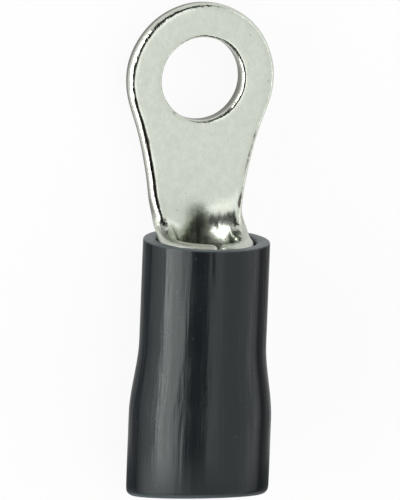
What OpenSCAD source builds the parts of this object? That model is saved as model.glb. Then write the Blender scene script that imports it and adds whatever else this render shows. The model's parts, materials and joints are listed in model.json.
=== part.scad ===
// Insulated ring terminal for 2.5 to 4 mm2 wire and an M4 stud.
// Two pieces: the terminal, stamped and rolled from one tinned copper sheet,
// and the soft insulating sleeve that grips its barrel.
//
// Frame: X across the tongue, +Y towards the ring's tip, +Z up from the tongue.
// Origin: centre of the stud hole, on the underside of the tongue.

/* [Sheet] */
// Thickness of the copper sheet
sheet_t = 1.0; // [0.8:0.05:1.2]

/* [Ring tongue] */
// Diameter of the stud hole
stud_hole_d = 4.3; // [3.2:0.1:5.3]
// Outside diameter of the ring
ring_d = 7.9; // [7:0.1:9]
// Width of the tongue at its waist, where the shoulder begins
neck_w = 4.9; // [4.4:0.1:5.4]
// Lean of the tongue's sides at the waist, in degrees
neck_lean = 4.5; // [0:0.5:8]
// Distance from the centre of the hole to the front end of the barrel
hole_to_barrel = 7.9; // [7.5:0.1:12]

/* [Formed shoulder] */
// Radius in the flat blank between the tongue's edge and the barrel's end
shoulder_r = 1.0; // [0.7:0.05:1.3]
// Length over which the flat sheet curls up into the barrel
form_l = 1.9; // [1.6:0.1:2.4]

/* [Barrel] */
// Inside diameter of the rolled barrel
bore_d = 3.0; // [2.5:0.1:3.6]
// Length of the barrel
barrel_l = 6.2; // [5:0.1:7.5]
// Opening left where the two edges of the rolled sheet meet
seam_gap = 0.12; // [0.06:0.02:0.3]

/* [Sleeve] */
// Wall of the sleeve where it grips the barrel
sleeve_wall = 0.73; // [0.5:0.01:0.9]
// Length of the sleeve
sleeve_l = 13.3; // [11.5:0.1:15]
// Rounding of the sleeve's front edge
front_edge_r = 0.1; // [0.05:0.05:0.3]
// How far the barrel's end stands out of the sleeve
barrel_proud = 0.1; // [0.05:0.05:0.3]
// Gap all round between the barrel and the sleeve
seat_gap = 0.02; // [0.01:0.01:0.05]
// Step in the sleeve's bore where the stretched tube closes in behind the barrel
seat_step = 0.1; // [0.05:0.05:0.3]

/* [Sleeve mouth] */
// Outside diameter of the flared mouth
mouth_d = 7.3; // [6.9:0.1:8.2]
// Inside diameter of the wire's entry
entry_d = 6.1; // [5.6:0.1:6.2]
// Wall of the sleeve at its rim, where the lead-in thins it
rim_wall = 0.45; // [0.3:0.05:0.5]
// Length of the lead-in from the rim to the entry, on the axis
lead_in_l = 0.8; // [0.7:0.05:1]
// How far before the barrel's rear end the outside starts to flare
flare_lead = 0.8; // [0.2:0.1:1]
// Length over which the outside flares to the mouth's diameter
flare_l = 3.9; // [3:0.1:4.2]
// Rounding of the mouth's outer edge
mouth_edge_r = 0.4; // [0.1:0.05:0.4]
// Lean of the cut across the mouth, in degrees
mouth_lean = 9; // [0:0.5:9]

/* [Hidden] */

tin = [0.80, 0.82, 0.78];
black_vinyl = [0.13, 0.14, 0.15];

over = 1;                                // cutters reach this far past what they cut
lap = 0.3;                               // the shoulder runs this far into the barrel's wall
lap_inset = 0.02;                        // and there lies this far inside its surfaces
form_ease = 1.5;                         // 1 curls evenly, and more leaves the curl to the end

// Barrel
barrel_d = bore_d + 2 * sheet_t;
barrel_r = barrel_d / 2;
axis_z = barrel_r;                       // the tongue is flush with the barrel's back
barrel_y = -hole_to_barrel;              // front end of the barrel
barrel_end_y = barrel_y - barrel_l;      // rear end of the barrel
roll_r = (bore_d + sheet_t) / 2;         // middle of the rolled sheet

// Tongue and shoulder, as half widths and places along Y
ring_r = ring_d / 2;
waist = neck_w / 2;
waist_y = barrel_y + shoulder_r * (1 + sin(neck_lean));
form_y = barrel_y + form_l;              // where the flat sheet starts to curl
// Radius of the side arcs, which touch the ring and lean at the waist
side_r = (pow(waist, 2) + pow(waist_y, 2) - pow(ring_r, 2))
    / (2 * (ring_r - waist * cos(neck_lean) + waist_y * sin(neck_lean)));
side_x = waist + side_r * cos(neck_lean);
side_y = waist_y - side_r * sin(neck_lean);
side_end = atan2(-side_y, side_x);       // angle on the arc where it touches the ring
side_steps = 12;
waist_steps = 5;                         // sections of the curl before the waist
shoulder_steps = 12;                     // sections of the curl round the shoulder
wrap_steps = 28;                         // strips across each section

// Sleeve
seat_r = barrel_r + seat_gap;
sleeve_r = seat_r + sleeve_wall;
sleeve_y = barrel_y - barrel_proud;      // front end of the sleeve
mouth_r = mouth_d / 2;
mouth_y = sleeve_y - sleeve_l;           // rear end of the sleeve, on the axis
flare_y = barrel_end_y + flare_lead;     // where the outside starts to flare
entry_y = flare_y - flare_l;             // where the flare and the taper end
lead_in_y = mouth_y + lead_in_l;         // where the entry ends and the lead-in starts
rim_r = mouth_r - rim_wall;              // inside of the rim
flare_steps = 16;
edge_steps = 5;
round_steps = 64;                        // points round the sleeve's sections

$fn = 96;

// Step from 0 to 1, level at both ends
function ease(t) = t * t * (3 - 2 * t);

function lerp(a, b, t) = a + (b - a) * t;

// Solid through closed sections, each a ring of the same even number of points
// that runs the same way round, set one after another towards -Y. An end is
// closed by strips between the ring's first half and its second.
module loft(sections) {
    n = len(sections[0]);
    last = (len(sections) - 1) * n;
    polyhedron(
        points = [for (section = sections, point = section) point],
        faces = concat(
            [for (i = [0 : n / 2 - 2]) [i, i + 1, n - 2 - i, n - 1 - i]],
            [for (j = [0 : n : last - n], i = [0 : n - 1])
                let (k = (i + 1) % n)
                [j + i, j + n + i, j + n + k, j + k]],
            [for (i = [0 : n / 2 - 2])
                [last + n - 1 - i, last + n - 2 - i, last + i + 1, last + i]]
        )
    );
}

// Places a shape along the barrel's axis, from y towards the rear
module on_axis(y) {
    translate([0, y, axis_z])
        rotate([90, 0, 0])
            children();
}

// ---- Terminal: ring tongue ----------------------------------------------

// Half width and place on the tongue's side arc, by its angle
function side_point(angle) = [side_x - side_r * cos(angle), side_y + side_r * sin(angle)];

// Angle on the side arc where the sheet starts to curl
form_angle = asin((form_y - side_y) / side_r);

module tongue_outline() {
    side = [for (i = [0 : side_steps]) side_point(lerp(form_angle, side_end, i / side_steps))];
    other_side = [for (i = [side_steps : -1 : 0]) [-side[i][0], side[i][1]]];
    circle(r = ring_r);
    polygon(concat(side, other_side));
}

module tongue() {
    linear_extrude(sheet_t)
        difference() {
            tongue_outline();
            circle(d = stud_hole_d);
        }
}

// ---- Terminal: formed shoulder ------------------------------------------

// Half width and place on the shoulder's arc, by its angle
function shoulder_point(angle) = [
    waist + shoulder_r * (cos(neck_lean) - cos(angle)),
    barrel_y + shoulder_r * (1 - sin(angle))
];

// Every section of the curling sheet, as its half width in the flat and its place
form_sections = concat(
    [for (i = [0 : waist_steps - 1]) side_point(lerp(form_angle, neck_lean, i / waist_steps))],
    [for (i = [0 : shoulder_steps]) shoulder_point(lerp(-neck_lean, 90, i / shoulder_steps))],
    [shoulder_point(90) - [0, lap]]
);

// How far the sheet has curled at y, from 0 in the tongue to 1 at the barrel
function curl(y) = pow(max(0, min(1, (form_y - y) / form_l)), form_ease);

// Point of a section: across runs from -1 to 1 over its width, and height is
// 0 on the underside of the sheet and sheet_t on its top
function sheet_point(half_w, y, across, height) =
    let (bend = curl(y) / roll_r)
    bend < 0.001
        ? [half_w * across, y, height]
        : let (r = 1 / bend + sheet_t / 2 - height, turn = half_w * across * bend * 180 / PI)
            [r * sin(turn), y, height + r * (1 - cos(turn))];

function sheet_section(half_w, y) =
    let (inset = lap_inset * curl(y))
    concat(
        [for (i = [0 : wrap_steps]) sheet_point(half_w, y, 2 * i / wrap_steps - 1, inset)],
        [for (i = [wrap_steps : -1 : 0])
            sheet_point(half_w, y, 2 * i / wrap_steps - 1, sheet_t - inset)]
    );

module formed_shoulder() {
    loft([for (s = form_sections) sheet_section(s[0], s[1])]);
}

// ---- Terminal: barrel ---------------------------------------------------

module barrel() {
    difference() {
        on_axis(barrel_y)
            cylinder(r = barrel_r, h = barrel_l);
        on_axis(barrel_y + over)
            cylinder(d = bore_d, h = barrel_l + 2 * over);
        translate([-seam_gap / 2, barrel_end_y - over, axis_z])
            cube([seam_gap, barrel_l + 2 * over, barrel_d]);
    }
}

// ---- Sleeve -------------------------------------------------------------

// Outside radius of the sleeve at y
function outside_r(y) = lerp(sleeve_r, mouth_r, ease(max(0, min(1, (flare_y - y) / flare_l))));

// Circle round the axis at y, whose top leans towards the front
function sleeve_section(y, r, lean = 0) = [
    for (i = [0 : round_steps - 1])
        let (x = r * cos(360 * i / round_steps), z = r * sin(360 * i / round_steps))
        [x, y + z * tan(lean), axis_z + z]
];

// Sections round an outside edge of radius r at y, in the order they are met:
// side is 1 at the front end and -1 at the mouth
function edge_sections(y, side, r, lean) = [
    for (i = side > 0 ? [edge_steps : -1 : 0] : [0 : edge_steps])
        let (angle = 90 * i / edge_steps)
        sleeve_section(y - side * r * (1 - sin(angle)), outside_r(y) - r * (1 - cos(angle)), lean)
];

module sleeve_outside() {
    loft(concat(
        edge_sections(sleeve_y, 1, front_edge_r, 0),
        [for (i = [0 : flare_steps])
            let (y = flare_y - flare_l * i / flare_steps)
            sleeve_section(y, outside_r(y))],
        edge_sections(mouth_y, -1, mouth_edge_r, mouth_lean)
    ));
}

// Everything inside the sleeve: the barrel's seat, a step, a taper out to the
// wire's entry, and the lead-in at the mouth, continued past the leaning cut
module sleeve_inside() {
    past = mouth_r;
    rim_slope = (rim_r - entry_d / 2) / lead_in_l;
    translate([0, 0, axis_z])
        rotate([90, 0, 0])
            rotate_extrude()
                polygon([
                    [0, -sleeve_y - over],
                    [seat_r, -sleeve_y - over],
                    [seat_r, -barrel_end_y],
                    [seat_r - seat_step, -barrel_end_y],
                    [entry_d / 2, -entry_y],
                    [entry_d / 2, -lead_in_y],
                    [rim_r + rim_slope * past, -mouth_y + past],
                    [0, -mouth_y + past]
                ]);
}

// ---- Pieces -------------------------------------------------------------

module terminal() {
    color(tin) {
        tongue();
        formed_shoulder();
        barrel();
    }
}

module sleeve() {
    color(black_vinyl)
        difference() {
            sleeve_outside();
            sleeve_inside();
        }
}

terminal();
sleeve();
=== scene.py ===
import json
from math import atan2, copysign, cos, hypot, pi, radians, sin, tan

import bmesh
import bpy
from bpy.props import FloatProperty, FloatVectorProperty, PointerProperty
from mathutils import Matrix, Vector, noise


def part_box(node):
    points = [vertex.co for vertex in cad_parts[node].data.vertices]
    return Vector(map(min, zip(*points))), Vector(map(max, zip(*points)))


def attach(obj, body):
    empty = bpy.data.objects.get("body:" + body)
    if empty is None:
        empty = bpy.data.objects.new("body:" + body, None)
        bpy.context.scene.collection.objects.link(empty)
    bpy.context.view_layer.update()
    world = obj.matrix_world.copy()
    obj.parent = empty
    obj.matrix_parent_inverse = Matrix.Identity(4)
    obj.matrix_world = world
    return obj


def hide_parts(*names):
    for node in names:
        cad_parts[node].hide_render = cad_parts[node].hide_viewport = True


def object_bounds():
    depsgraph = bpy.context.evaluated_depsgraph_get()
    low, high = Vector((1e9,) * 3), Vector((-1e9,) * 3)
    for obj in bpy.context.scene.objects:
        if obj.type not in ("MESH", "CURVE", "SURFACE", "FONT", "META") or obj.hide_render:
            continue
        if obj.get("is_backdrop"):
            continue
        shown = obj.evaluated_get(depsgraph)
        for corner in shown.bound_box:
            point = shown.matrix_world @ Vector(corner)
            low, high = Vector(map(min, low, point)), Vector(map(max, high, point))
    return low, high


bl_info = {
    "name": "Insulated ring terminal",
    "version": (1, 0, 0),
    "blender": (4, 5, 0),
    "location": "3D View > Sidebar > Ring Terminal",
    "description": "Builds a tinned ring terminal with its black sleeve, and a studio for it",
    "category": "Object",
}

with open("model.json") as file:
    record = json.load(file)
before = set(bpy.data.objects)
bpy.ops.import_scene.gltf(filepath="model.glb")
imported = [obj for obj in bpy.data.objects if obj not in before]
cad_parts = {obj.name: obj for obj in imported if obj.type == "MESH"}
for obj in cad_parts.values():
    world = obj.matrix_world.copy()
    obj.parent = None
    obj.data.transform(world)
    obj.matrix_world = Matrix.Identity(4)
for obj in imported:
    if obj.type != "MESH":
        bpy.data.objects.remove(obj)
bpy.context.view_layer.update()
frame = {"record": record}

MM = 0.001               # lengths are in metres
MOUNTS = {mount["name"]: mount for mount in frame["record"]["mounts"]}
STUD_HOLE = MOUNTS["stud_hole"]["dims"]
WIRE_BARREL = MOUNTS["wire_barrel"]["dims"]
BARREL_END = Vector(MOUNTS["wire_barrel"]["pos_m"])
ENTRY = MOUNTS["insulation_entry"]
TERMINAL_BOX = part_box("terminal")
SLEEVE_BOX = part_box("sleeve")


def linear(hex_colour):
    """An sRGB hex colour as linear red, green and blue."""
    srgb = [int(hex_colour[i:i + 2], 16) / 255 for i in (1, 3, 5)]
    return [c / 12.92 if c <= 0.04045 else ((c + 0.055) / 1.055) ** 2.4 for c in srgb]


def size_property(name, description, default):
    return FloatProperty(name=name, description=description, default=default,
                         min=0, subtype="DISTANCE", unit="LENGTH", precision=5)


def angle_property(name, description, degrees):
    return FloatProperty(name=name, description=description, default=radians(degrees),
                         subtype="ANGLE", unit="ROTATION")


def colour_property(name, description, hex_colour):
    return FloatVectorProperty(name=name, description=description, default=linear(hex_colour),
                               size=3, min=0, max=1, subtype="COLOR")


class TerminalSettings(bpy.types.PropertyGroup):
    sheet: size_property(
        "Sheet", "Thickness of the copper sheet", STUD_HOLE["length_mm"] * MM)
    hole_radius: size_property(
        "Stud hole radius", "Radius of the punched stud hole", STUD_HOLE["r_mm"] * MM)
    ring_radius: size_property(
        "Ring radius", "Outside radius of the ring", TERMINAL_BOX[1].x)
    neck_width: size_property(
        "Neck width", "Width of the tongue at its waist", 4.9 * MM)
    neck_lean: angle_property(
        "Neck lean", "Lean of the tongue's sides at the waist", 4.5)
    shoulder_radius: size_property(
        "Shoulder radius", "Radius in the flat blank beside the barrel's end", 1.0 * MM)
    form_length: size_property(
        "Forming length", "Length over which the sheet curls up into the barrel", 1.9 * MM)
    form_ease: FloatProperty(
        name="Forming ease", description="1 curls evenly, and more leaves the curl to the end",
        default=1.5, min=1)
    bore_radius: size_property(
        "Bore radius", "Inside radius of the rolled barrel", WIRE_BARREL["r_mm"] * MM)
    barrel_length: size_property(
        "Barrel length", "Length of the rolled barrel", WIRE_BARREL["length_mm"] * MM)
    seam_gap: size_property(
        "Seam gap", "Opening where the rolled edges meet", 0.12 * MM)
    roll_over: size_property(
        "Roll-over", "Rounding that the die draws over the sheet's upper edges", 0.38 * MM)
    punch_round: size_property(
        "Punched rounding", "Rounding of the hole's two edges", 0.24 * MM)
    edge_round: size_property(
        "Edge rounding", "Rounding of the sheet's lower edges", 0.45 * MM)
    hollow: size_property(
        "Hollow", "How far the punch hollows the sheet before the barrel", 0.3 * MM)
    edge_wander: size_property(
        "Edge wander", "How far the stamped edge wanders from its line", 0.02 * MM)
    tin: colour_property(
        "Tin", "Colour of the tin plating", "#C8CDC2")
    torn_and_shade: colour_property(
        # The torn copper's dull colour, which also serves as painted shade: the cut's dark
        # outline and the dark band along the roll-over
        "Torn edge", "Colour of the torn copper low in the cut", "#4C4640")
    hollow_shade: colour_property(
        # Painted shade: the dark colour laid in streaks over the hollow before the barrel
        "Rubbed", "Colour of the plating where the punch has rubbed it", "#4E4C45")
    tarnish: colour_property(
        "Tarnish", "Colour of the specks in the plating", "#8E8C80")


class SleeveSettings(bpy.types.PropertyGroup):
    seat_radius: size_property(
        "Seat radius", "Inside radius of the sleeve round the barrel", 2.52 * MM)
    wall: size_property(
        "Wall", "Wall of the sleeve where it grips the barrel", 0.73 * MM)
    bore_step: size_property(
        "Bore step", "Step where the stretched tube closes in behind the barrel", 0.1 * MM)
    flare_lead: size_property(
        "Flare lead", "How far before the barrel's end the outside starts to flare", 0.8 * MM)
    flare_length: size_property(
        "Flare length", "Length over which the outside flares to its mouth", 3.9 * MM)
    entry_radius: size_property(
        "Entry radius", "Inside radius of the wire's entry", ENTRY["dims"]["r_mm"] * MM)
    rim_wall: size_property(
        "Rim wall", "Wall of the sleeve at its rim", 0.45 * MM)
    mouth_lean: angle_property(
        "Mouth lean", "Lean of the cut across the mouth", 9)
    front_round: size_property(
        "Front rounding", "Rounding of the front edge", 0.1 * MM)
    mouth_round: size_property(
        "Mouth rounding", "Rounding of the mouth's outer edge", 0.4 * MM)
    vinyl: colour_property(
        "Vinyl", "Colour of the black vinyl", "#101518")
    cut_vinyl: colour_property(
        "Cut vinyl", "Colour of the vinyl where it is cut", "#4A5458")
    dust: colour_property(
        "Dust", "Colour of the dust specks on the vinyl", "#6E7070")


class StageSettings(bpy.types.PropertyGroup):
    floor_radius: size_property(
        "Floor radius", "Radius of the floor before it turns up", 2.0)
    floor: colour_property(
        "Floor", "Colour of the floor", "#F4F4F2")
    floor_glow: FloatProperty(
        name="Floor glow", description="Share of the floor that shows as white in any light",
        default=0.92, min=0, max=1)
    key_radiance: FloatProperty(
        name="Left softbox", description="Brightness of the left softbox, where 1 is white",
        default=3.9, min=0)
    low_radiance: FloatProperty(
        name="Low softbox", description="Brightness of the low softbox, where 1 is white",
        default=12, min=0)
    fill_radiance: FloatProperty(
        name="Right softbox", description="Brightness of the right softbox, where 1 is white",
        default=1.0, min=0)
    top_radiance: FloatProperty(
        name="Top softbox", description="Brightness that the top softbox adds, where 1 is white",
        default=0.6, min=0)
    room: FloatProperty(
        name="Room", description="Brightness of the dark studio behind the softboxes",
        default=0.02, min=0)


# ---- Mesh tools ----------------------------------------------------------

def extrude_row(bm, row, places, closed=False):
    """Extrudes a row of joined vertices to new places, and returns the new row."""
    ends = row[1:] + row[:1] if closed else row[1:]
    edges = [bm.edges.get(pair) for pair in zip(row, ends)]
    order = {vertex.co.to_tuple(): i for i, vertex in enumerate(row)}
    made = bmesh.ops.extrude_edge_only(bm, edges=edges)["geom"]
    new_row = sorted((part for part in made if isinstance(part, bmesh.types.BMVert)),
                     key=lambda vertex: order[vertex.co.to_tuple()])
    for vertex, place in zip(new_row, places):
        vertex.co = place
    return new_row


def smooth_step(start, end, value):
    """From 0 at start to 1 at end, level at both."""
    t = min(1, max(0, (value - start) / (end - start)))
    return t * t * (3 - 2 * t)


def mix(a, b, t):
    return a + (b - a) * t


def make_piece(bm, name, node, material, subdivisions):
    """Turns a bmesh into a smooth object that stands for a CAD node."""
    bmesh.ops.recalc_face_normals(bm, faces=bm.faces)
    mesh = bpy.data.meshes.new(name)
    bm.to_mesh(mesh)
    bm.free()
    mesh.shade_smooth()
    mesh.materials.append(material)
    piece = bpy.data.objects.new(name, mesh)
    bpy.context.scene.collection.objects.link(piece)
    subdivide = piece.modifiers.new("Smooth", "SUBSURF")
    subdivide.levels = subdivide.render_levels = subdivisions
    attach(piece, "root")
    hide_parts(node)
    return piece


# ---- Materials -----------------------------------------------------------

STRETCHED_SKIN = (-18 * MM, -21 * MM)    # along Y, from where it starts to where it is full


def add(tree, kind, sockets=(), **settings):
    """Adds a node with its settings; a socket's value may be another node's output."""
    node = tree.nodes.new(kind)
    for name, value in settings.items():
        setattr(node, name, value)
    for socket, value in dict(sockets).items():
        if isinstance(value, bpy.types.NodeSocket):
            tree.links.new(value, node.inputs[socket])
        else:
            node.inputs[socket].default_value = value
    return node


def new_material(name):
    material = bpy.data.materials.new(name)
    material.use_nodes = True
    material.node_tree.nodes.clear()
    return material


def attribute(tree, name):
    """A value that the mesh carries at each of its vertices."""
    return add(tree, "ShaderNodeAttribute", attribute_name=name).outputs["Fac"]


def texture(tree, place, size, detail):
    """Noise about size across, which is one length or a length along each axis."""
    if isinstance(size, tuple):
        place = add(tree, "ShaderNodeMapping", {
            "Vector": place, "Scale": tuple(1 / length for length in size)}).outputs["Vector"]
        size = 1
    return add(tree, "ShaderNodeTexNoise",
               {"Vector": place, "Scale": 1 / size, "Detail": detail}).outputs["Fac"]


def calculate(tree, operation, *values, **settings):
    """What a Math node makes of the values."""
    return add(tree, "ShaderNodeMath", enumerate(values), operation=operation,
               **settings).outputs["Value"]


def ramp(tree, value, source, target, **settings):
    """Maps value from the source range to the target range, and holds it at both ends."""
    sockets = {"Value": value, "From Min": source[0], "From Max": source[1],
               "To Min": target[0], "To Max": target[1]}
    return add(tree, "ShaderNodeMapRange", sockets, **settings).outputs["Result"]


def covered(tree, under, colour, share):
    """Lays a share of a colour over what is under it."""
    return add(tree, "ShaderNodeMix", {"Factor": share, "A": under, "B": (*colour, 1)},
               data_type="RGBA").outputs["Result"]


def bump(tree, height, depth, normal=None, share=1):
    """Adds relief of up to depth times share to a surface, or to an earlier bump's normal."""
    sockets = {"Height": height, "Strength": share, "Distance": depth}
    if normal is not None:
        sockets["Normal"] = normal
    return add(tree, "ShaderNodeBump", sockets).outputs["Normal"]


def tinned_copper(settings):
    # Tin plated over stamped copper sheet: a warm pale metal with a soft satin mirror. The
    # plating's grain blurs it, forming stretches it in lines, and the sheared edge is streaked.
    material = new_material("tinned_copper")
    tree = material.node_tree
    place = add(tree, "ShaderNodeTexCoord").outputs["Object"]
    sheared = attribute(tree, "sheared")
    rolled = attribute(tree, "rolled")
    scored = attribute(tree, "scored")
    formed = attribute(tree, "formed")
    hollow = attribute(tree, "hollow")

    # The plating's grain, soft waves of the sheet, and ripples of the rolled-over edge
    grain = texture(tree, place, 0.12 * MM, 2)
    waves = texture(tree, place, 0.9 * MM, 3)
    ripple = texture(tree, place, 0.25 * MM, 2)
    # Lines of stretched metal, which run along the neck where it is formed
    drawn = texture(tree, place, (0.25 * MM, 2.5 * MM, 0.6 * MM), 3)
    # Shear marks, which run through the sheet's thickness
    shear = texture(tree, place, (0.14 * MM, 0.14 * MM, 1.2 * MM), 3)

    # Frosty patches of the plating, under sparse specks from handling
    frost = ramp(tree, texture(tree, place, 0.35 * MM, 4), (0.4, 0.65), (0, 0.09))
    frosted = covered(tree, (*settings.tin, 1), settings.tarnish, frost)
    specks = ramp(tree, texture(tree, place, 0.3 * MM, 1), (0.75, 0.82), (0, 0.6))
    plated = covered(tree, frosted, settings.tarnish, specks)
    # Painted shade darkens the rolled edge, most along the neck's left side, and in patches
    # elsewhere
    edge_shade_level = calculate(tree, "MULTIPLY_ADD", scored, 0.6, waves)
    edge_shade_share = ramp(tree, edge_shade_level, (0.8, 0.95), (0, 0.9))
    # The cut's lower half is coloured dark: partly the torn copper's own colour, partly painted
    # shade that draws a dark outline; less so on the barrel, where rolling has worn the cut
    unrubbed = ramp(tree, formed, (0, 1), (0.9, 0.1))
    torn_and_shade_share = calculate(tree, "MULTIPLY_ADD", sheared, unrubbed, edge_shade_share, use_clamp=True)
    cut = covered(tree, plated, settings.torn_and_shade, torn_and_shade_share)
    # The punch leaves the hollow before the barrel dull and streaked
    # Painted shade darkens the hollow before the barrel, in streaks along the stretch lines
    streaks = ramp(tree, drawn, (0.38, 0.62), (0.2, 0.9))
    colour = covered(tree, cut, settings.hollow_shade, calculate(tree, "MULTIPLY", hollow, streaks))

    # The die burnishes the edge that it rolls over, and tearing roughens the cut
    plain_blur = ramp(tree, waves, (0.3, 0.7), (0.22, 0.30))
    rolled_blur = calculate(tree, "MULTIPLY_ADD", rolled, -0.10, plain_blur)
    blur = calculate(tree, "MULTIPLY_ADD", sheared, 0.2, rolled_blur)

    relief = bump(tree, grain, 0.0035 * MM)
    relief = bump(tree, waves, 0.02 * MM, relief)
    relief = bump(tree, drawn, 0.03 * MM, relief, formed)
    relief = bump(tree, ripple, 0.03 * MM, relief, rolled)
    relief = bump(tree, shear, 0.03 * MM, relief, sheared)

    metal = add(tree, "ShaderNodeBsdfPrincipled", {
        "Base Color": colour, "Metallic": 1, "Roughness": blur, "Normal": relief})
    add(tree, "ShaderNodeOutputMaterial", {"Surface": metal.outputs["BSDF"]})
    return material


def black_vinyl(settings):
    # Soft PVC tube, extruded and cut: near black, with a satin skin that carries fine lines
    # along its length from the die, and a little dust and scuffing.
    material = new_material("black_vinyl")
    tree = material.node_tree
    place = add(tree, "ShaderNodeTexCoord").outputs["Object"]
    along = add(tree, "ShaderNodeSeparateXYZ", {"Vector": place}).outputs["Y"]
    cut = attribute(tree, "cut")

    # Die lines 7 mm long, unevenness of the drawn tube, the skin's grain, and scuffed patches
    lines = texture(tree, place, (0.3 * MM, 7 * MM, 0.3 * MM), 3)
    uneven = texture(tree, place, (1.2 * MM, 5 * MM, 1.2 * MM), 2)
    grain = texture(tree, place, 0.1 * MM, 2)
    scuffs = texture(tree, place, 1.6 * MM, 4)

    # Sparse specks of dust
    dust = ramp(tree, texture(tree, place, 0.18 * MM, 1), (0.76, 0.84), (0, 0.4))
    skin = covered(tree, (*settings.vinyl, 1), settings.dust, dust)
    # A knife leaves the two ends paler and rougher than the skin
    colour = covered(tree, skin, settings.cut_vinyl, cut)

    # Stretching over the flaring pin dulls the skin before the mouth
    scuffed_blur = ramp(tree, scuffs, (0.3, 0.7), (0.24, 0.30))
    stretched = ramp(tree, along, STRETCHED_SKIN, (0, 0.3), interpolation_type="SMOOTHSTEP")
    skin_blur = calculate(tree, "ADD", scuffed_blur, stretched)
    blur = calculate(tree, "MULTIPLY_ADD", cut, 0.15, skin_blur)

    relief = bump(tree, uneven, 0.05 * MM)
    relief = bump(tree, lines, 0.026 * MM, relief)
    relief = bump(tree, grain, 0.002 * MM, relief)

    # The soft skin loses its gloss at glancing angles, and the cut ends keep theirs
    glance = add(tree, "ShaderNodeLayerWeight", {"Blend": 0.5}).outputs["Facing"]
    skin_gloss = ramp(tree, glance, (0.33, 0.5), (0.4, 0.02))
    gloss = calculate(tree, "MULTIPLY_ADD", cut, 0.34, skin_gloss)

    vinyl = add(tree, "ShaderNodeBsdfPrincipled", {
        "Base Color": colour, "IOR": 1.5, "Specular IOR Level": gloss,
        "Specular Tint": (0.93, 1, 0.97, 1), "Roughness": blur, "Normal": relief})
    add(tree, "ShaderNodeOutputMaterial", {"Surface": vinyl.outputs["BSDF"]})
    return material


def studio_floor(settings):
    # Matte white studio card: it takes the object's shadow, and reads as white wherever the
    # light reaches it, to the eye and in the metal's mirror alike.
    material = new_material("studio_floor")
    tree = material.node_tree
    ray = add(tree, "ShaderNodeLightPath").outputs
    seen = calculate(tree, "MAXIMUM", ray["Is Camera Ray"], ray["Is Glossy Ray"])
    shown = calculate(tree, "MAXIMUM", seen, ray["Is Transmission Ray"])
    share = calculate(tree, "MULTIPLY", shown, settings.floor_glow)
    card = add(tree, "ShaderNodeBsdfDiffuse", {"Color": (*settings.floor, 1)})
    white = add(tree, "ShaderNodeEmission", {"Color": (1, 1, 1, 1), "Strength": 1})
    surface = add(tree, "ShaderNodeMixShader", {
        0: share, 1: card.outputs["BSDF"], 2: white.outputs["Emission"]})
    add(tree, "ShaderNodeOutputMaterial", {"Surface": surface.outputs["Shader"]})
    return material


# ---- Terminal ------------------------------------------------------------

# Where the hollow fades in, from nothing to its full depth, measured from the barrel's front
# end along Y for its two ends, and from the middle for its sides
HOLLOW_FRONT = (1.7 * MM, -0.4 * MM)
HOLLOW_BACK = (-3 * MM, -0.6 * MM)
HOLLOW_SIDE = (1.3 * MM, 0)
FLAT_BEND = 1e-3         # radians a metre: the sheet counts as flat below this curvature


class Blank:
    """The terminal's flat blank: x across it, y along it, z through the sheet."""

    def __init__(self, settings):
        s = self.settings = settings
        self.roll_radius = s.bore_radius + s.sheet / 2
        self.half_wrap = pi * self.roll_radius - s.seam_gap / 2
        self.barrel_end = BARREL_END.y
        self.barrel_front = BARREL_END.y + s.barrel_length
        self.form_start = self.barrel_front + s.form_length
        waist = s.neck_width / 2
        waist_y = self.barrel_front + s.shoulder_radius * (1 + sin(s.neck_lean))
        self.waist, self.waist_y = waist, waist_y
        # The side arcs touch the ring and lean by neck_lean at the waist
        self.side_radius = (
            (waist ** 2 + waist_y ** 2 - s.ring_radius ** 2)
            / (2 * (s.ring_radius - waist * cos(s.neck_lean) + waist_y * sin(s.neck_lean))))
        self.side_centre = (waist + self.side_radius * cos(s.neck_lean),
                            waist_y - self.side_radius * sin(s.neck_lean))
        self.touch = atan2(-self.side_centre[1], self.side_centre[0])

    def side(self, angle):
        """Half width and place on the side arc."""
        return (self.side_centre[0] - self.side_radius * cos(angle),
                self.side_centre[1] + self.side_radius * sin(angle))

    def shoulder(self, angle):
        """Half width and place on the arc between the neck and the barrel's front."""
        s = self.settings
        return (self.waist + s.shoulder_radius * (cos(s.neck_lean) - cos(angle)),
                self.barrel_front + s.shoulder_radius * (1 - sin(angle)))

    def formed(self, y):
        """How far the sheet has curled, from 0 in the tongue to 1 in the barrel."""
        s = self.settings
        return min(1, max(0, (self.form_start - y) / s.form_length)) ** s.form_ease

    def hollow(self, point):
        """How far the punch has pressed the sheet in, from 0 to 1 at the barrel's front."""
        past = point.y - self.barrel_front
        return (smooth_step(*HOLLOW_FRONT, past) * smooth_step(*HOLLOW_BACK, past)
                * smooth_step(*HOLLOW_SIDE, abs(point.x)))

    def curled(self, point):
        """Where a point of the flat blank lies once the sheet is formed."""
        bend = self.formed(point.y) / self.roll_radius
        if bend < FLAT_BEND:
            return point.copy()
        radius = 1 / bend + self.settings.sheet / 2 - point.z
        turn = point.x * bend
        return Vector((radius * sin(turn), point.y, point.z + radius * (1 - cos(turn))))


RING_STEPS = 32          # round the ring, above the neck
RING_ROWS = 2            # from the hole to the ring's edge
NECK_COLUMNS = 10        # across the neck
NECK_ROWS = 12           # along the neck
SHOULDER_ROWS = 4        # round the first half of each shoulder
CORNER_COLUMNS = 4       # round its other half
WRAP_COLUMNS = 5         # from there to the seam
BARREL_ROWS = (0.09, 0.2, 0.4, 0.6, 0.8, 1)      # as shares of the way to the barrel's end
ROWS_DRAWN_IN = 0.6      # share of the ring's width that its rows take up before the neck
DRAWN_IN_EASE = 5        # more keeps the rows drawn in for longer towards the neck's sides
SAME_PLACE = 0.001 * MM  # vertices closer than this are one


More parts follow.
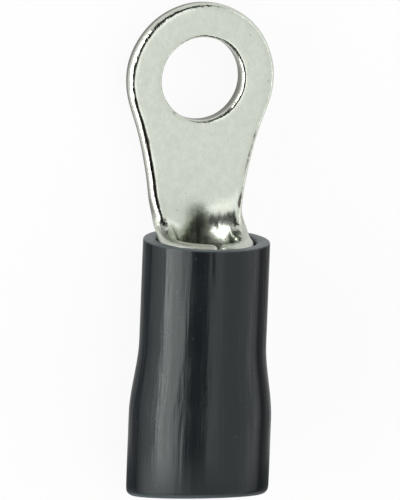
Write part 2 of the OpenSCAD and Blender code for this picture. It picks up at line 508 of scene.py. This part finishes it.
def ring_surface(bm, blank):
    """Spins the ring from the hole to its edge, and returns the row that the neck grows from."""
    s = blank.settings
    across = [bm.verts.new((radius * cos(blank.touch), -radius * sin(blank.touch), 0))
              for radius in (s.hole_radius, s.ring_radius)]
    bmesh.ops.subdivide_edges(bm, edges=[bm.edges.new(across)], cuts=RING_ROWS - 1)
    above = pi + 2 * blank.touch
    line = bm.verts[:] + bm.edges[:]
    for angle, steps in ((above, RING_STEPS), (2 * pi - above, NECK_COLUMNS)):
        line = bmesh.ops.spin(bm, geom=line, cent=(0, 0, 0), axis=(0, 0, 1),
                              angle=angle, steps=steps)["geom_last"]
    bmesh.ops.remove_doubles(bm, verts=bm.verts, dist=SAME_PLACE)
    touch_y = -s.ring_radius * sin(blank.touch)
    row = sorted((v for v in bm.verts if v.co.y < touch_y + SAME_PLACE
                  and v.co.length > s.ring_radius - SAME_PLACE), key=lambda v: v.co.x)
    # Towards the neck the rows draw in, so that the neck's first faces are wide at its sides
    opening = pi / 2 - blank.touch
    for vertex in bm.verts:
        off = min(1, atan2(abs(vertex.co.x), -vertex.co.y) / opening)
        radius = vertex.co.length
        drawn_in = mix(ROWS_DRAWN_IN, 1, off ** DRAWN_IN_EASE)
        vertex.co *= mix(s.hole_radius, radius, drawn_in) / radius
    return row


def neck_surface(bm, blank, row):
    """Draws the neck and the start of the shoulders out of the ring."""
    lean = blank.settings.neck_lean
    start = [v.co.copy() for v in row]
    touch = start[-1]
    lowest = min(co.y for co in start)
    for i in range(1, NECK_ROWS + 1):
        t = i / NECK_ROWS
        half_width, side_y = blank.side(mix(blank.touch, lean, t))
        middle_y = mix(lowest, blank.waist_y, t)
        places = []
        for j, co in enumerate(start):
            across = mix(co.x / touch.x, 2 * j / NECK_COLUMNS - 1, smooth_step(0, 1, t))
            bow = (co.y - touch.y) / (lowest - touch.y)
            places.append((half_width * across, mix(side_y, middle_y, bow), 0))
        row = extrude_row(bm, row, places)
    for i in range(1, SHOULDER_ROWS + 1):
        half_width, y = blank.shoulder(mix(-lean, pi / 4, i / SHOULDER_ROWS))
        row = extrude_row(bm, row, [(half_width * (2 * j / NECK_COLUMNS - 1), y, 0)
                                    for j in range(NECK_COLUMNS + 1)])
    return row


def barrel_surface(bm, blank, row):
    """Draws out the barrel's middle, then each side round the shoulder and to the seam."""
    top = row[0].co.y
    sides = [[row[0]], [row[-1]]]
    for t in BARREL_ROWS:
        row = extrude_row(bm, row, [(v.co.x, mix(top, blank.barrel_end, t), 0) for v in row])
        sides[0].append(row[0])
        sides[1].append(row[-1])
    fronts = [blank.shoulder(mix(pi / 4, pi / 2, i / CORNER_COLUMNS))
              for i in range(1, CORNER_COLUMNS + 1)]
    corner = fronts[-1][0]
    fronts += [(mix(corner, blank.half_wrap, i / WRAP_COLUMNS), blank.barrel_front)
               for i in range(1, WRAP_COLUMNS + 1)]
    for side in sides:
        for x, front in fronts:
            side = extrude_row(bm, side, [
                (copysign(x, v.co.x), mix(front, blank.barrel_end, t), 0)
                for v, t in zip(side, (0, *BARREL_ROWS))])


CORNER_ANGLE = radians(60)       # edges that turn by more than this are corners of the blank
HOLE_MARGIN = 0.01 * MM          # vertices this far outside the hole's radius are still its own
WANDER_SIZE = 0.9 * MM           # distance over which the edge wanders to and fro
WANDER_SEED = 1                  # makes it wander the same way in every build

# How far up the normal points where each mask fades in, and where it is full: the cut's lower
# wall, the rolled-over edge, and the band of painted shade along it
SHEARED_UP = (0.3, 0)
ROLLED_UP = (0.99, 0.93)
EDGE_SHADE_UP = (0.99, 0.96)         # at the upper side of the band of painted shade
EDGE_SHADE_DOWN = (0.6, 0.85)        # at its lower side

# How dark the painted shade on the roll-over is: at the ring's tip, and from the neck back round
# the hole, on the left and on the right. It darkens over EDGE_SHADE_STRETCH, along Y.
EDGE_SHADE_TIP, EDGE_SHADE_HOLE, EDGE_SHADE_LEFT, EDGE_SHADE_RIGHT = 0.2, 0.35, 1, 0.6
EDGE_SHADE_STRETCH = (1.5 * MM, -2.5 * MM)
FORMING_MARKS = (0.4 * MM, 1.8 * MM)     # past the start of the curl, from none to full


def edge_shade_depth(co, settings):
    """How dark the painted shade on the roll-over is, from 0 to 1."""
    if co.xy.length < settings.hole_radius + settings.punch_round:
        hardest = EDGE_SHADE_HOLE
    else:
        hardest = EDGE_SHADE_LEFT if co.x < 0 else EDGE_SHADE_RIGHT
    return mix(EDGE_SHADE_TIP, hardest, smooth_step(*EDGE_SHADE_STRETCH, co.y))


def stamp_edges(bm, settings):
    """Rolls the upper edges over, eases the lower ones, and lets both wander a little."""
    for upper, at_hole, size, segments in ((True, True, settings.punch_round, 5),
                                           (True, False, settings.roll_over, 6),
                                           (False, True, settings.punch_round, 5),
                                           (False, False, settings.edge_round, 5)):
        corners = [
            edge for edge in bm.edges
            if edge.calc_face_angle() > CORNER_ANGLE
            and abs(edge.verts[0].co.z - edge.verts[1].co.z) < settings.sheet / 2
            and (edge.verts[0].co.z > settings.sheet / 2) == upper
            and (edge.verts[0].co.xy.length < settings.hole_radius + HOLE_MARGIN) == at_hole]
        bmesh.ops.bevel(bm, geom=corners, offset=size, offset_type="OFFSET",
                        segments=segments, profile=0.5, affect="EDGES", material=-1,
                        clamp_overlap=False)
    bm.normal_update()
    sheared = bm.verts.layers.float.new("sheared")
    rolled = bm.verts.layers.float.new("rolled")
    scored = bm.verts.layers.float.new("scored")
    for vertex in bm.verts:
        up = vertex.normal.z
        vertex[sheared] = smooth_step(*SHEARED_UP, up)
        vertex[rolled] = smooth_step(*ROLLED_UP, abs(up))
        # The band of painted shade along the rolled-over edge
        vertex[scored] = (edge_shade_depth(vertex.co, settings)
                          * smooth_step(*EDGE_SHADE_UP, up) * smooth_step(*EDGE_SHADE_DOWN, up))
    noise.seed_set(WANDER_SEED)
    for vertex in bm.verts:
        vertex.co += (noise.noise_vector(vertex.co / WANDER_SIZE)
                      * settings.edge_wander * vertex[rolled])


class OBJECT_OT_ring_terminal_metal(bpy.types.Operator):
    """Builds the stamped and rolled terminal from its flat blank"""
    bl_idname = "ring_terminal.metal"
    bl_label = "Terminal"

    def execute(self, context):
        settings = context.scene.ring_terminal_metal
        blank = Blank(settings)
        bm = bmesh.new()
        row = ring_surface(bm, blank)
        row = neck_surface(bm, blank, row)
        barrel_surface(bm, blank, row)
        bmesh.ops.recalc_face_normals(bm, faces=bm.faces)
        if bm.faces[0].normal.z > 0:
            bmesh.ops.reverse_faces(bm, faces=bm.faces)
        bmesh.ops.solidify(bm, geom=bm.faces[:], thickness=settings.sheet)
        stamp_edges(bm, settings)
        formed = bm.verts.layers.float.new("formed")
        hollow = bm.verts.layers.float.new("hollow")
        scored = bm.verts.layers.float["scored"]
        for vertex in bm.verts:
            vertex[formed] = smooth_step(*FORMING_MARKS, blank.form_start - vertex.co.y)
            vertex[hollow] = blank.hollow(vertex.co)
            # No painted shade on the edges of the formed barrel
            vertex[scored] *= 1 - vertex[formed]
            vertex.co.z *= 1 - settings.hollow / settings.sheet * vertex[hollow]
            vertex.co = blank.curled(vertex.co)
        make_piece(bm, "terminal_body", "terminal",
                   tinned_copper(settings), 2)
        return {"FINISHED"}


# ---- Sleeve --------------------------------------------------------------

SLEEVE_SIDES = 72
ROUND_ROWS = 4           # round each of the sleeve's outer edges
FLARE_ROWS = 16
FRONT_EASE = 0.05 * MM   # how far the front's inner edge is eased
RIM_EASE = 0.03 * MM     # and the rim's


def sleeve_profile(s):
    """Place, radius and lean of each of the sleeve's circles, from the front's inner edge round
    the outside to the mouth, and back through the bore."""
    front, mouth_radius = SLEEVE_BOX[1].y, SLEEVE_BOX[1].x
    mouth = SLEEVE_BOX[0].y + (mouth_radius - s.mouth_round) * tan(s.mouth_lean)
    flare = BARREL_END.y + s.flare_lead
    entry_start = flare - s.flare_length
    entry_end = ENTRY["pos_m"][1]
    seat = s.seat_radius
    tight = seat + s.wall
    rim = mouth_radius - s.rim_wall
    quarter = [pi / 2 * i / ROUND_ROWS for i in range(ROUND_ROWS + 1)]

    rows = [(front, seat + FRONT_EASE, 0)]
    rows += [(front - s.front_round * (1 - sin(a)), tight - s.front_round * (1 - cos(a)), 0)
             for a in reversed(quarter)]
    rows += [(mix(front, flare, t), tight, 0) for t in (0.05, 0.2, 0.4, 0.6, 0.8, 1)]
    for i in range(1, FLARE_ROWS + 1):
        y = flare - s.flare_length * i / FLARE_ROWS
        rows.append((y, mix(tight, mouth_radius, smooth_step(0, s.flare_length, flare - y)), 0))
    rows += [(mix(entry_start, mouth + s.mouth_round, t), mouth_radius, s.mouth_lean * t * t)
             for t in (0.25, 0.5, 0.75)]
    rows += [(mouth + s.mouth_round * (1 - sin(a)), mouth_radius - s.mouth_round * (1 - cos(a)),
              s.mouth_lean) for a in quarter]
    rows += [(mouth, rim + RIM_EASE, s.mouth_lean), (mouth + RIM_EASE, rim, s.mouth_lean),
             (entry_end, s.entry_radius, 0), (entry_start, s.entry_radius, 0)]
    rows += [(mix(entry_start, BARREL_END.y, t), mix(s.entry_radius, seat - s.bore_step, t), 0)
             for t in (0.3, 0.6, 0.97, 1)]
    rows += [(mix(BARREL_END.y, front, t), seat, 0) for t in (0, 0.02, 0.35, 0.7, 0.98)]
    return rows


def sleeve_circle(y, radius, lean):
    """A circle round the barrel's axis at y, whose top leans towards the front."""
    turns = (2 * pi * i / SLEEVE_SIDES for i in range(SLEEVE_SIDES))
    return [Vector((radius * cos(t), y + radius * sin(t) * tan(lean),
                    BARREL_END.z + radius * sin(t))) for t in turns]


class OBJECT_OT_ring_terminal_sleeve(bpy.types.Operator):
    """Builds the insulating sleeve, tight on the barrel and flared at its mouth"""
    bl_idname = "ring_terminal.sleeve"
    bl_label = "Sleeve"

    def execute(self, context):
        settings = context.scene.ring_terminal_sleeve
        first_circle, *circles = (sleeve_circle(*row) for row in sleeve_profile(settings))
        bm = bmesh.new()
        first = bmesh.ops.create_circle(
            bm, segments=SLEEVE_SIDES, radius=settings.seat_radius)["verts"]
        for vertex, place in zip(first, first_circle):
            vertex.co = place
        row = first
        for places in circles:
            row = extrude_row(bm, row, places, closed=True)
        ends = [bm.edges.get(pair) for loop in (first, row)
                for pair in zip(loop, loop[1:] + loop[:1])]
        bmesh.ops.bridge_loops(bm, edges=ends)
        bm.normal_update()
        # The cut ends are the faces that look along the sleeve
        cut = bm.verts.layers.float.new("cut")
        for vertex in bm.verts:
            vertex[cut] = max(0, 2 * max(abs(f.normal.y) for f in vertex.link_faces) - 1)
        make_piece(bm, "sleeve_body", "sleeve", black_vinyl(settings), 1)
        return {"FINISHED"}


# ---- Stage ---------------------------------------------------------------

# The camera looks down on the terminal, from a little to the left and past the ring's tip
TO_CAMERA = Vector((-0.3232, 0.1857, 0.9280)).normalized()
ROLL = radians(2.2)              # turn of the camera about its line of sight
VIEW_DISTANCE = 0.5              # from the camera to the middle of its view
VIEW_HEIGHT = 25.51 * MM         # height of the field of view there
AIM_ACROSS = 0.163 * MM          # the view's middle, to the right of the origin
AIM_BELOW = 8.86 * MM            # and below it
SENSOR_HEIGHT = 24               # millimetres
CLIP_START = 0.01                # the camera sees nothing nearer

FLOOR_SIDES = 96
UPTURN_RADIUS = 0.5              # of the curve at the floor's rim
UPTURN_ANGLE = radians(80)
UPTURN_ROWS = 8

LIT_PLACE = Vector((0, -9 * MM, 3 * MM))     # about the object's middle
# Tilt from straight up towards +X in degrees, then distance, width and length in metres, and
# the setting that holds the radiance
SOFTBOXES = {
    "left_softbox": (-67, 0.4, 0.24, 0.7, "key_radiance"),
    "low_softbox": (-87.5, 0.4, 0.035, 0.7, "low_radiance"),
    "right_softbox": (42, 0.4, 1.03, 1.1, "fill_radiance"),
    "top_softbox": (2, 0.35, 0.13, 0.9, "top_radiance"),
}


def make_floor(settings):
    """A round floor under the object, which curves up at its rim."""
    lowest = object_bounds()[0][2]
    bm = bmesh.new()
    rim = bmesh.ops.create_circle(bm, cap_ends=True, segments=FLOOR_SIDES,
                                  radius=settings.floor_radius)["verts"]
    bmesh.ops.translate(bm, verts=rim, vec=(0, 0, lowest))
    for i in range(1, UPTURN_ROWS + 1):
        angle = UPTURN_ANGLE * i / UPTURN_ROWS
        reach = settings.floor_radius + UPTURN_RADIUS * sin(angle)
        height = lowest + UPTURN_RADIUS * (1 - cos(angle))
        rim = extrude_row(bm, rim, [
            (v.co.x / hypot(v.co.x, v.co.y) * reach, v.co.y / hypot(v.co.x, v.co.y) * reach,
             height) for v in rim], closed=True)
    mesh = bpy.data.meshes.new("floor")
    bm.to_mesh(mesh)
    bm.free()
    mesh.materials.append(studio_floor(settings))
    floor = bpy.data.objects.new("floor", mesh)
    bpy.context.scene.collection.objects.link(floor)
    floor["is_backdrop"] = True


def make_softbox(name, tilt, distance, width, length, radiance):
    """A softbox that faces the object and doesn't show itself."""
    lamp = bpy.data.lights.new(name, "AREA")
    lamp.shape = "RECTANGLE"
    lamp.size, lamp.size_y = width, length
    lamp.energy = radiance * pi * width * length
    box = bpy.data.objects.new(name, lamp)
    turn = Matrix.Rotation(radians(tilt), 4, "Y")
    away = Matrix.Translation((0, 0, distance))
    box.matrix_world = Matrix.Translation(LIT_PLACE) @ turn @ away
    box.visible_camera = False
    bpy.context.scene.collection.objects.link(box)


def make_room(settings):
    """The dim light of the studio behind the softboxes."""
    world = bpy.data.worlds.new("studio")
    world.use_nodes = True
    background = world.node_tree.nodes["Background"].inputs
    background["Color"].default_value = (1, 1, 1, 1)
    background["Strength"].default_value = settings.room
    bpy.context.scene.world = world


def make_camera():
    """A long lens, which shows the terminal with hardly any perspective."""
    right = Vector((0, 1, 0)).cross(TO_CAMERA).normalized()
    up = TO_CAMERA.cross(right)
    across = right * cos(ROLL) + up * sin(ROLL)
    upright = up * cos(ROLL) - right * sin(ROLL)
    lens = bpy.data.cameras.new("camera")
    lens.sensor_fit = "VERTICAL"
    lens.sensor_height = SENSOR_HEIGHT
    lens.lens = SENSOR_HEIGHT * VIEW_DISTANCE / VIEW_HEIGHT
    lens.clip_start = CLIP_START
    camera = bpy.data.objects.new("camera", lens)
    target = across * AIM_ACROSS - upright * AIM_BELOW
    axes = Matrix((across, upright, TO_CAMERA)).transposed().to_4x4()
    camera.matrix_world = Matrix.Translation(target + TO_CAMERA * VIEW_DISTANCE) @ axes
    bpy.context.scene.collection.objects.link(camera)
    bpy.context.scene.camera = camera


class OBJECT_OT_ring_terminal_stage(bpy.types.Operator):
    """Sets up the floor, the soft studio light and the camera"""
    bl_idname = "ring_terminal.stage"
    bl_label = "Stage"

    def execute(self, context):
        settings = context.scene.ring_terminal_stage
        make_floor(settings)
        for name, (*placing, radiance) in SOFTBOXES.items():
            make_softbox(name, *placing, getattr(settings, radiance))
        make_room(settings)
        make_camera()
        context.scene.view_settings.view_transform = "Standard"
        return {"FINISHED"}


class VIEW3D_PT_ring_terminal(bpy.types.Panel):
    """Lists the pieces of the ring terminal and their sizes"""
    bl_idname = "VIEW3D_PT_ring_terminal"
    bl_label = "Ring Terminal"
    bl_space_type = "VIEW_3D"
    bl_region_type = "UI"
    bl_category = "Ring Terminal"

    def draw(self, context):
        for operator, group in PIECES:
            box = self.layout.box()
            box.operator(operator.bl_idname)
            settings = getattr(context.scene, group)
            for name in settings.bl_rna.properties.keys():
                if name not in ("name", "rna_type"):
                    box.prop(settings, name)


SETTINGS = {
    "ring_terminal_metal": TerminalSettings,
    "ring_terminal_sleeve": SleeveSettings,
    "ring_terminal_stage": StageSettings,
}
PIECES = (
    (OBJECT_OT_ring_terminal_metal, "ring_terminal_metal"),
    (OBJECT_OT_ring_terminal_sleeve, "ring_terminal_sleeve"),
    (OBJECT_OT_ring_terminal_stage, "ring_terminal_stage"),
)
CLASSES = (*SETTINGS.values(), *(operator for operator, group in PIECES), VIEW3D_PT_ring_terminal)


def register():
    for cls in CLASSES:
        bpy.utils.register_class(cls)
    for name, group in SETTINGS.items():
        setattr(bpy.types.Scene, name, PointerProperty(type=group))


def unregister():
    for name in SETTINGS:
        delattr(bpy.types.Scene, name)
    for cls in reversed(CLASSES):
        bpy.utils.unregister_class(cls)


def main():
    register()
    bpy.ops.ring_terminal.metal()
    bpy.ops.ring_terminal.sleeve()
    bpy.ops.ring_terminal.stage()


if __name__ == "__main__":
    main()
